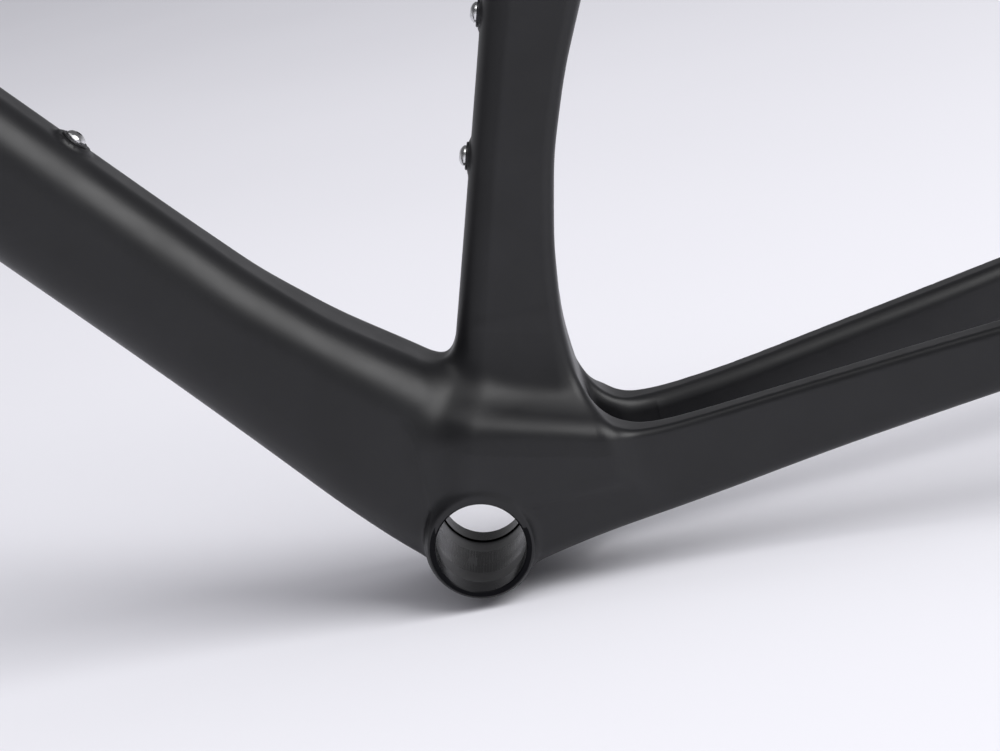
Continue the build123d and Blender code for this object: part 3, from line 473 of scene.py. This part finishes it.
def right_stay_field(p):
    return smooth_min(chainstays(p), grommet_pad(p, *WIRE), 2.5)


# Skins ----------------------------------------------------------------------------------------------


def slope(field, p, h=0.15):
    """The field's slope at each point, by central differences."""
    out = np.empty_like(p)
    for axis in range(3):
        step = np.zeros(3)
        step[axis] = h
        out[:, axis] = (field(p + step) - field(p - step)) / (2 * h)
    return out


def surface(field, low, high, cell):
    """Points and faces of the field's zero surface in a box; the mesh is closed at the box's walls."""
    low = np.array(low, float) - 2 * cell
    count = np.ceil((np.array(high, float) + 2 * cell - low) / cell).astype(int) + 1
    blocks = -(-count // BLOCK)
    centre_index = np.stack(np.meshgrid(*[np.arange(b) for b in blocks], indexing="ij"), -1).reshape(-1, 3)
    centres = low + (centre_index * BLOCK + (BLOCK - 1) / 2) * cell
    rough = field(centres)
    values = np.empty(tuple(blocks * BLOCK), np.float32)
    # Only blocks that the surface may cross are worked out in full: 0.87 is half a unit block's diagonal.
    reach = BLOCK * cell * 0.87 * 1.6 + 4
    offsets = np.stack(np.meshgrid(*[np.arange(BLOCK)] * 3, indexing="ij"), -1).reshape(-1, 3)
    shaped = values.reshape(blocks[0], BLOCK, blocks[1], BLOCK, blocks[2], BLOCK)
    shaped[:] = rough.reshape(tuple(blocks))[:, None, :, None, :, None]
    near = np.nonzero(np.abs(rough) < reach)[0]
    for start in range(0, len(near), BATCH):
        chosen = centre_index[near[start : start + BATCH]]
        index = chosen[:, None, :] * BLOCK + offsets[None]
        points = low + index.reshape(-1, 3) * cell
        found = field(points).astype(np.float32)
        flat = index.reshape(-1, 3)
        values[flat[:, 0], flat[:, 1], flat[:, 2]] = found
    for axis in range(3):
        edge = [slice(None)] * 3
        for side in (0, -1):
            edge[axis] = side
            values[tuple(edge)] = np.maximum(values[tuple(edge)], cell)
    grid = openvdb.FloatGrid(background=float(cell * 4))
    grid.copyFromArray(values)
    points, quads = grid.convertToQuads(isovalue=0.0)
    return low + points.astype(float) * cell, quads[:, ::-1]


def settle(field, points, cell):
    """Moves points onto the zero surface along its slope."""
    for _ in range(3):
        value = field(points)
        grad = slope(field, points)
        step = value[:, None] * grad / np.maximum((grad * grad).sum(1), 0.1)[:, None]
        length = np.linalg.norm(step, axis=1)
        step *= np.minimum(1, cell / np.maximum(length, 1e-9))[:, None]
        points = points - step
    return points


def mesh_object(name, points, faces):
    mesh = bpy.data.meshes.new(name)
    mesh.from_pydata((points * 0.001).tolist(), [], faces.tolist())
    mesh.validate()
    made = bpy.data.objects.new(name, mesh)
    bpy.context.scene.collection.objects.link(made)
    return made


def box_cutter(axis, s_range, y_range, n_range):
    """A box in an axis's own directions."""
    corners = [axis.point(s, n, y) * 0.001 for s in s_range for y in y_range for n in n_range]
    mesh = bmesh.new()
    verts = [mesh.verts.new(c) for c in corners]
    bmesh.ops.convex_hull(mesh, input=verts)
    return cutter_object(mesh)


def cylinder_cutter(origin, direction, radius, length, segments=96):
    """A cylinder from `origin` along `direction`."""
    out = Vector(direction).normalized()
    mesh = bmesh.new()
    middle = (Vector(origin) + out * (length / 2)) * 0.001
    turn = out.to_track_quat("Z", "Y").to_matrix().to_4x4()
    bmesh.ops.create_cone(
        mesh,
        cap_ends=True,
        segments=segments,
        radius1=radius * 0.001,
        radius2=radius * 0.001,
        depth=length * 0.001,
        matrix=Matrix.Translation(middle) @ turn,
    )
    return cutter_object(mesh)


def cutter_object(mesh):
    bmesh.ops.recalc_face_normals(mesh, faces=mesh.faces)
    data = bpy.data.meshes.new("cutter")
    mesh.to_mesh(data)
    mesh.free()
    made = bpy.data.objects.new("cutter", data)
    bpy.context.scene.collection.objects.link(made)
    return made


def cut(made, cutters):
    """Takes the cutters' shapes out of a mesh, and removes the cutters."""
    for cutter in cutters:
        modifier = made.modifiers.new("cut", "BOOLEAN")
        modifier.operation = "DIFFERENCE"
        modifier.solver = "EXACT"
        modifier.object = cutter
    depsgraph = bpy.context.evaluated_depsgraph_get()
    finished = bpy.data.meshes.new_from_object(made.evaluated_get(depsgraph))
    made.modifiers.clear()
    made.data = finished
    for cutter in cutters:
        bpy.data.objects.remove(cutter)


def shade(made, field):
    """Gives the moulded surface the field's own normals, and keeps cut faces flat or round."""
    mesh = made.data
    count = len(mesh.vertices)
    points = np.empty(count * 3)
    mesh.vertices.foreach_get("co", points)
    points = points.reshape(-1, 3) * 1000
    grad = slope(field, points)
    grad /= np.maximum(np.linalg.norm(grad, axis=1), 1e-9)[:, None]
    on_skin = np.abs(field(points)) < SKIN_TOLERANCE
    mesh.shade_smooth()
    mesh.set_sharp_from_angle(angle=math.radians(CREASE_ANGLE))
    corner_vertex = np.empty(len(mesh.loops), int)
    mesh.loops.foreach_get("vertex_index", corner_vertex)
    face_normals = np.empty(len(mesh.polygons) * 3)
    mesh.polygons.foreach_get("normal", face_normals)
    face_normals = face_normals.reshape(-1, 3)
    totals = np.empty(len(mesh.polygons), int)
    mesh.polygons.foreach_get("loop_total", totals)
    corner_face = np.repeat(np.arange(len(totals)), totals)
    corner_normals = np.empty(len(mesh.loops) * 3)
    mesh.corner_normals.foreach_get("vector", corner_normals)
    corner_normals = corner_normals.reshape(-1, 3)
    wanted = grad[corner_vertex]
    agrees = (wanted * face_normals[corner_face]).sum(1) > 0.6
    use = on_skin[corner_vertex] & agrees
    mesh.normals_split_custom_set(np.where(use[:, None], wanted, corner_normals).tolist())


def skin(node, field, low, high, cell, cutters):
    """The moulded surface that stands for one carbon node, meshed in the box from `low` to `high`."""
    points, quads = surface(field, low, high, cell)
    points = settle(field, points, cell)
    made = mesh_object(f"{node}_skin", points, quads)
    cut(made, cutters)
    shade(made, field)
    made.data.materials.clear()
    made.data.materials.append(matt_carbon)
    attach(made, "frame")
    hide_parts(node)


# Materials ------------------------------------------------------------------------------------------


def shader(name):
    made = bpy.data.materials.new(name)
    made.use_nodes = True
    tree = made.node_tree
    tree.nodes.clear()
    out = tree.nodes.new("ShaderNodeOutputMaterial")
    bsdf = tree.nodes.new("ShaderNodeBsdfPrincipled")
    tree.links.new(bsdf.outputs["BSDF"], out.inputs["Surface"])
    place = tree.nodes.new("ShaderNodeTexCoord")
    return made, tree, bsdf, place.outputs["Object"]


def noise(tree, place, scale, detail=4.0, roughness=0.55, stretch=None):
    if stretch is not None:
        mapping = tree.nodes.new("ShaderNodeMapping")
        mapping.inputs["Scale"].default_value = stretch
        tree.links.new(place, mapping.inputs["Vector"])
        place = mapping.outputs["Vector"]
    made = tree.nodes.new("ShaderNodeTexNoise")
    made.inputs["Scale"].default_value = scale
    made.inputs["Detail"].default_value = detail
    made.inputs["Roughness"].default_value = roughness
    tree.links.new(place, made.inputs["Vector"])
    return made.outputs["Fac"]


def remap(tree, value, low, high, from_low=0.3, from_high=0.7):
    made = tree.nodes.new("ShaderNodeMapRange")
    made.inputs["From Min"].default_value = from_low
    made.inputs["From Max"].default_value = from_high
    made.inputs["To Min"].default_value = low
    made.inputs["To Max"].default_value = high
    tree.links.new(value, made.inputs["Value"])
    return made.outputs["Result"]


def tint(tree, value, dark, light, from_low=0.3, from_high=0.7):
    made = tree.nodes.new("ShaderNodeValToRGB")
    made.color_ramp.elements[0].position = from_low
    made.color_ramp.elements[0].color = (*dark, 1)
    made.color_ramp.elements[1].position = from_high
    made.color_ramp.elements[1].color = (*light, 1)
    tree.links.new(value, made.inputs["Fac"])
    return made.outputs["Color"]


def bump(tree, bsdf, value, strength, distance):
    made = tree.nodes.new("ShaderNodeBump")
    made.inputs["Strength"].default_value = strength
    made.inputs["Distance"].default_value = distance
    tree.links.new(value, made.inputs["Height"])
    tree.links.new(made.outputs["Normal"], bsdf.inputs["Normal"])


def finish_with(
    name, dark, light, rough, metallic=0.0, grain=1800.0, strength=0.08, specular=0.5, stretch=None
):
    """A finish with a soft mottle, uneven sheen and a fine grain."""
    made, tree, bsdf, place = shader(name)
    mottle = noise(tree, place, 26.0, 5.0)
    fine = noise(tree, place, grain, 3.0, 0.6, stretch)
    tree.links.new(tint(tree, mottle, dark, light), bsdf.inputs["Base Color"])
    cloud = noise(tree, place, 60.0, 4.0)
    tree.links.new(remap(tree, cloud, rough[0], rough[1]), bsdf.inputs["Roughness"])
    bsdf.inputs["Metallic"].default_value = metallic
    bsdf.inputs["Specular IOR Level"].default_value = specular
    bump(tree, bsdf, fine, strength, 0.0002)
    return made


matt_carbon = finish_with(
    "matt_carbon",
    dark=(0.006, 0.006, 0.007),
    light=(0.009, 0.009, 0.0105),
    rough=(0.38, 0.45),
    grain=2600.0,
    strength=0.1,
    specular=0.42,
)
raw_carbon = finish_with(
    "raw_carbon",
    dark=(0.002, 0.002, 0.003),
    light=(0.005, 0.005, 0.006),
    rough=(0.2, 0.3),
    grain=420.0,
    strength=0.05,
    specular=0.06,
)
polished_steel = finish_with(
    "polished_steel",
    dark=(0.62, 0.62, 0.63),
    light=(0.74, 0.74, 0.75),
    rough=(0.16, 0.26),
    metallic=1.0,
    grain=900.0,
    strength=0.04,
    stretch=(1, 1, 6),
)
dark_steel = finish_with(
    "dark_steel",
    dark=(0.05, 0.05, 0.052),
    light=(0.09, 0.09, 0.092),
    rough=(0.3, 0.45),
    metallic=1.0,
    grain=1400.0,
    strength=0.06,
)
black_alloy = finish_with(
    "black_alloy",
    dark=(0.018, 0.018, 0.02),
    light=(0.03, 0.03, 0.032),
    rough=(0.34, 0.44),
    metallic=0.6,
    grain=2200.0,
    strength=0.08,
)
black_plastic = finish_with(
    "black_plastic",
    dark=(0.014, 0.014, 0.015),
    light=(0.022, 0.022, 0.023),
    rough=(0.45, 0.6),
    grain=1500.0,
    strength=0.2,
)
black_rubber = finish_with(
    "black_rubber",
    dark=(0.012, 0.012, 0.012),
    light=(0.02, 0.02, 0.02),
    rough=(0.65, 0.8),
    grain=1200.0,
    strength=0.25,
)

SLOT_MATERIALS = {
    "carbon": matt_carbon,
    "raw_carbon": raw_carbon,
    "black_alloy": black_alloy,
    "bright_steel": polished_steel,
    "dark_steel": dark_steel,
    "black_plastic": black_plastic,
    "rubber": black_rubber,
}
for part in frame["record"]["subparts"]:
    data = nodes[part["node"]].data
    data.materials.clear()
    data.materials.append(SLOT_MATERIALS[part["material_slot"]])

# Carbon skins ---------------------------------------------------------------------------------------

# Reaches of the box cutters that trim each skin at its joint planes.
SIDE = (-60, 60)
WIDE = (-100, 100)
FAR = (-160, 160)


def crown_room():
    """The space under the head tube's rim, where the fork crown turns."""
    return cylinder_cutter(HEAD.point(-60), HEAD.along, CROWN_ROOM_R, 60.3)


skin(
    "bottom_bracket_junction",
    junction_field,
    (-92, -46, -30),
    (112, 46, 112),
    FINE,
    [
        box_cutter(DOWN, (JUNCTION_END, JUNCTION_END + 90), SIDE, (-60, 90)),
        box_cutter(SEAT, (JUNCTION_END, JUNCTION_END + 60), SIDE, (-60, 90)),
        box_cutter(REARWARD, (STAY_JOINT, STAY_JOINT + 30), SIDE, SIDE),
        cylinder_cutter((0, -60, 0), (0, 1, 0), MOUTH_R, 120, segments=160),
    ],
)
skin(
    "down_tube",
    down_field,
    (50, -34, 55),
    (445, 34, 450),
    MEDIUM,
    [
        box_cutter(DOWN, (JUNCTION_END - 90, JUNCTION_END), SIDE, (-90, 90)),
        box_cutter(DOWN, (HEAD_JOINT_DOWN, HEAD_JOINT_DOWN + 200), SIDE, FAR),
        crown_room(),
    ],
)
skin(
    "seat_tube",
    seat_field,
    (-190, -34, 85),
    (30, 34, 500),
    (FINE + MEDIUM) / 2,
    [
        box_cutter(SEAT, (JUNCTION_END - 60, JUNCTION_END), SIDE, (-90, 90)),
        box_cutter(TOP, (LUG_END, LUG_END + 60), SIDE, SIDE),
        box_cutter(REARWARD, (135, 260), SIDE, (-SEATSTAY_TOP, -250)),
        cylinder_cutter(SEAT.point(SEATPOST_FOOT), SEAT.along, SEATPOST_R, 200),
        # The pocket for the seatpost clamp, in front of the seatpost.
        box_cutter(SEAT, (472, 520), (-8, 8), (-31, -12)),
    ],
)
skin(
    "top_tube",
    top_field,
    (-110, -30, 420),
    (380, 30, 550),
    MEDIUM,
    [
        box_cutter(TOP, (LUG_END - 80, LUG_END), SIDE, (-90, 90)),
        box_cutter(TOP, (HEAD_JOINT_TOP, HEAD_JOINT_TOP + 120), SIDE, FAR),
    ],
)
skin(
    "head_tube",
    head_field,
    (340, -34, 395),
    (460, 34, 560),
    (FINE + MEDIUM) / 2,
    [
        box_cutter(DOWN, (HEAD_JOINT_DOWN - 120, HEAD_JOINT_DOWN), SIDE, (-90, 120)),
        # This one stops above the down tube, which lies under the same length of the top tube.
        box_cutter(TOP, (HEAD_JOINT_TOP - 120, HEAD_JOINT_TOP), SIDE, (-42, 60)),
        crown_room(),
        cylinder_cutter(HEAD.point(-10), HEAD.along, HEAD_BORE_R, 200),
        cylinder_cutter(HEAD.point(-10), HEAD.along, LOWER_BEARING_R, 17.5),
        cylinder_cutter(HEAD.point(HEAD_LENGTH - 7.5), HEAD.along, UPPER_BEARING_R, 20),
        cylinder_cutter(HEAD.point(7), HEAD.along, HEAD_RELIEF_R, 24),
    ],
)
for side, name, field in ((1, "left", left_stay_field), (-1, "right", right_stay_field)):
    low_y, high_y = sorted((side * 8, side * 90))
    cutters = [
        box_cutter(REARWARD, (STAY_JOINT - 60, STAY_JOINT), WIDE, WIDE),
        box_cutter(REARWARD, (STAY_END, STAY_END + 30), WIDE, (-140, 140)),
    ]
    if side > 0:
        turn = math.radians(PAD_SLOPE)
        pad_along = np.array((math.cos(turn), 0, -math.sin(turn)))
        pad_up = np.array((math.sin(turn), 0, math.cos(turn)))
        for offset in (-PAD_BOLT_OFFSET, PAD_BOLT_OFFSET):
            start = np.array(BRAKE_PAD) + pad_along * offset - pad_up * 60
            cutters.append(cylinder_cutter(start, pad_up, PAD_BOLT_R, 80, segments=48))
    start, out = HOSE if side > 0 else WIRE
    out = np.array(out) / np.linalg.norm(out)
    cutters.append(cylinder_cutter(np.array(start) - out * 8, out, GROMMET_SEAT_R, 20, segments=48))
    skin(
        f"{name}_chainstay",
        field,
        (-392, low_y, -12),
        (-86, high_y, 90),
        (FINE + MEDIUM) / 2,
        cutters,
    )
    skin(
        f"{name}_seatstay",
        seatstays,
        (-408, 2 if side > 0 else -90, 88),
        (-110, 90 if side > 0 else -2, 405),
        MEDIUM,
        [
            box_cutter(REARWARD, (60, 300), WIDE, (-450, -SEATSTAY_TOP)),
            box_cutter(REARWARD, (300, 500), WIDE, (-SEATSTAY_FOOT, -40)),
        ],
    )

# Stage, light and camera ------------------------------------------------------------------------------

FLOOR_SIZE = 16
FLOOR_GAP = 0.0005
low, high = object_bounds()
bpy.ops.mesh.primitive_plane_add(size=FLOOR_SIZE, location=(0, 0, low[2] - FLOOR_GAP))
floor = bpy.context.object
floor.name = "floor"
floor_material, tree, bsdf, place = shader("floor_paper")
# Painted shade: the floor's colour is a little darker and lighter in soft, wide patches that stand in for the
# shading of wrinkled paper.
painted_floor_shade = noise(tree, place, 1.2, 2.0)
tree.links.new(tint(tree, painted_floor_shade, (0.82, 0.815, 0.86), (0.84, 0.835, 0.88)), bsdf.inputs["Base Color"])
bsdf.inputs["Roughness"].default_value = 0.9
bsdf.inputs["Specular IOR Level"].default_value = 0.1
floor.data.materials.append(floor_material)

bpy.context.scene.view_settings.view_transform = "Standard"
# An even pale room. Surfaces mirror it bright near the horizon and dark overhead, as if flags hung above.
world = bpy.data.worlds.new("studio")
bpy.context.scene.world = world
world.use_nodes = True
room = world.node_tree
background = room.nodes["Background"]
background.inputs["Color"].default_value = (0.925, 0.925, 0.965, 1)
path = room.nodes.new("ShaderNodeLightPath")
strength = room.nodes.new("ShaderNodeMapRange")
strength.inputs["To Min"].default_value = 0.50
room.links.new(path.outputs["Is Glossy Ray"], strength.inputs["Value"])
direction = room.nodes.new("ShaderNodeTexCoord")
height = room.nodes.new("ShaderNodeSeparateXYZ")
sweep = room.nodes.new("ShaderNodeMapRange")
sweep.inputs["From Min"].default_value = 0.05
sweep.inputs["From Max"].default_value = 0.4
sweep.inputs["To Min"].default_value = 0.7
sweep.inputs["To Max"].default_value = 0.16
room.links.new(direction.outputs["Generated"], height.inputs["Vector"])
room.links.new(height.outputs["Z"], sweep.inputs["Value"])
room.links.new(sweep.outputs["Result"], strength.inputs["To Max"])
room.links.new(strength.outputs["Result"], background.inputs["Strength"])


def soft_light(name, place, target, size, power):
    data = bpy.data.lights.new(name, "AREA")
    data.shape = "RECTANGLE"
    data.size, data.size_y = size
    data.energy = power
    made = bpy.data.objects.new(name, data)
    made.location = place
    made.rotation_euler = (Vector(target) - Vector(place)).to_track_quat("-Z", "Y").to_euler()
    bpy.context.scene.collection.objects.link(made)
    return made


soft_light("key", (-3.1, 1.9, 3.5), (0, 0, 0), (4.0, 3.4), 215)
soft_light("overhead", (0.3, 0.5, 4.0), (0, 0, 0), (3.5, 2.5), 30)

# The camera looks from the left, a little from above, with the frame tilted nose down in the picture.
CAMERA_PLACE = (-0.0926, 1.148, 0.3586)
CAMERA_LOOK = (0.0592, -0.9672, -0.2470)
CAMERA_LENS = 93.6
ATTITUDE = 12.0
camera_data = bpy.data.cameras.new("camera")
camera = bpy.data.objects.new("camera", camera_data)
bpy.context.scene.collection.objects.link(camera)
camera_data.sensor_width = 36.0
camera_data.lens = CAMERA_LENS
forward = Vector(CAMERA_LOOK).normalized()
tilted_up = Vector((-math.sin(math.radians(ATTITUDE)), 0, math.cos(math.radians(ATTITUDE))))
right = forward.cross(tilted_up).normalized()
up = right.cross(forward)
camera.matrix_world = Matrix((
    (right.x, up.x, -forward.x, CAMERA_PLACE[0]),
    (right.y, up.y, -forward.y, CAMERA_PLACE[1]),
    (right.z, up.z, -forward.z, CAMERA_PLACE[2]),
    (0, 0, 0, 1),
))
bpy.context.scene.camera = camera
